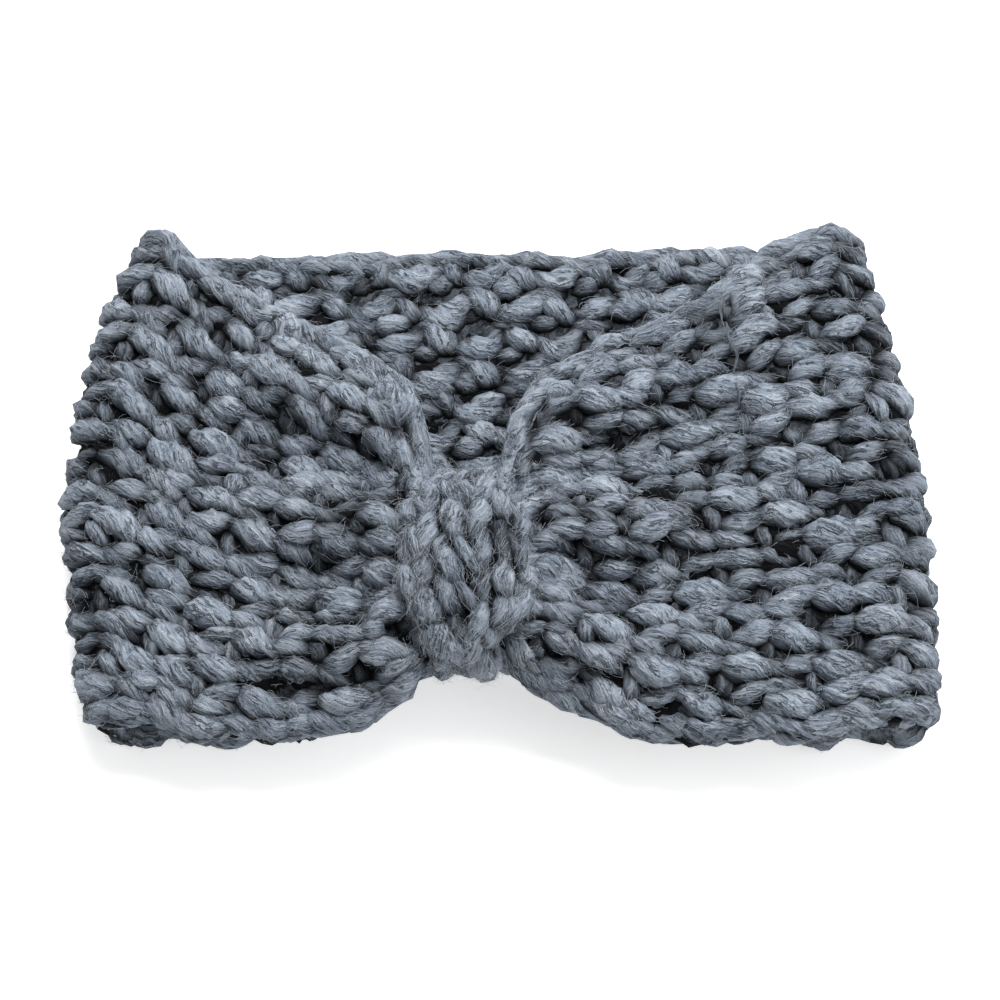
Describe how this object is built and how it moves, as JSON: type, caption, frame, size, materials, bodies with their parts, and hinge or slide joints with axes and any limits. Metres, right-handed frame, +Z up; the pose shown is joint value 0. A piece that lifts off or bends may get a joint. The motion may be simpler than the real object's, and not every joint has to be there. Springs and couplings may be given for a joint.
{
  "type": "ear warmer headband",
  "caption": "Thick crocheted ear warmer headband lying flat, a closed loop of fabric with its front gathered by a short braided wrap.",
  "frame": {"origin": "under the middle of the whole headband, on the surface that it lies on", "axes": "+X along the lying band towards its right fold, +Y towards its upper edge, +Z up, out of the gathered front"},
  "size_m": [0.242, 0.1534, 0.0449],
  "materials": {
    "yarn": "thick loosely spun blue-grey yarn, matt and fuzzy"
  },
  "bodies": {
    "root": {"band": "yarn", "center_wrap": "yarn"}
  },
  "joints": []
}
